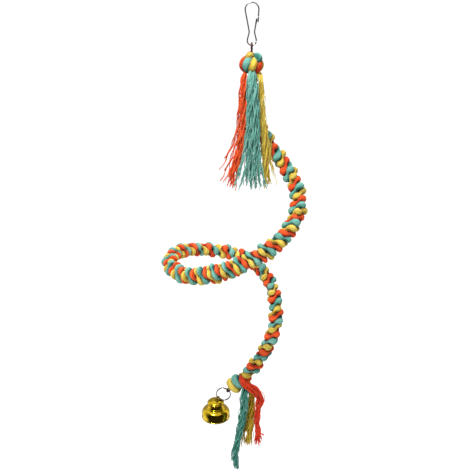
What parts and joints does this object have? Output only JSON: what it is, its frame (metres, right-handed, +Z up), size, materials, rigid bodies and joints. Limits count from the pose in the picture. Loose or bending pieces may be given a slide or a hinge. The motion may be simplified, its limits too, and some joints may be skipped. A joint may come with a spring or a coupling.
{
  "type": "spiral rope bird perch",
  "caption": "Bendable spiral rope perch for a cage, with soft cords wound round a core wire, frayed tassels, a snap hook to hang it by and a bell on a split ring.",
  "frame": {"origin": "where the perch hangs, at the inside of the snap hook's top arc", "axes": "+Z up, +X to the right and +Y to the back as pictured; the perch hangs down from the origin"},
  "size_m": [0.1397, 0.1444, 0.5026],
  "materials": {
    "hook_wire": "bright drawn wire",
    "core_wire": "dark coated bendable wire",
    "teal_cord": "soft dyed cotton cord",
    "yellow_cord": "soft dyed cotton cord",
    "orange_cord": "soft dyed cotton cord",
    "ring_wire": "bright plated",
    "bell_metal": "polished",
    "clapper_metal": "dark plated"
  },
  "bodies": {
    "hook": {"hook_bow": "hook_wire"},
    "gate": {"hook_gate": "hook_wire"},
    "perch": {"core_wire": "core_wire", "strand_teal": "teal_cord", "strand_yellow": "yellow_cord", "strand_orange": "orange_cord", "knot_teal": "teal_cord", "knot_yellow": "yellow_cord", "knot_orange": "orange_cord", "top_tassel_orange": "orange_cord", "top_tassel_teal": "teal_cord", "top_tassel_yellow": "yellow_cord", "end_wrap_teal": "teal_cord", "end_wrap_yellow": "yellow_cord", "end_tassel_orange": "orange_cord", "end_tassel_teal": "teal_cord", "end_tassel_yellow": "yellow_cord"},
    "ring": {"split_ring": "ring_wire"},
    "bell": {"bell_shell": "bell_metal", "bell_loop": "bell_metal"},
    "clapper": {"clapper": "clapper_metal"}
  },
  "joints": [
    {"name": "gate_spring", "type": "hinge", "parent": "hook", "child": "gate", "pos_m": [0.00406, 0, -0.03277], "axis": [0, -1, 0], "range_deg": [0, 18], "stiffness_Nm_per_rad": 0.12},
    {"name": "perch_swing", "type": "hinge", "parent": "hook", "child": "perch", "pos_m": [0, 0, -0.0363], "axis": [1, 0, 0], "range_deg": [-60, 60]},
    {"name": "ring_swing", "type": "hinge", "parent": "perch", "child": "ring", "pos_m": [-0.02262, 0.0067, -0.40373], "axis": [-0.7183, 0, 0.6957], "range_deg": [-30, 30]},
    {"name": "bell_swing", "type": "hinge", "parent": "ring", "child": "bell", "pos_m": [-0.03412, 0.00727, -0.41389], "axis": [0.6018, 0, -0.7986], "range_deg": [-18, 18]},
    {"name": "clapper_swing", "type": "hinge", "parent": "bell", "child": "clapper", "pos_m": [-0.03664, 0.00727, -0.42073], "axis": [1, 0, 0], "range_deg": [-30, 30]}
  ]
}
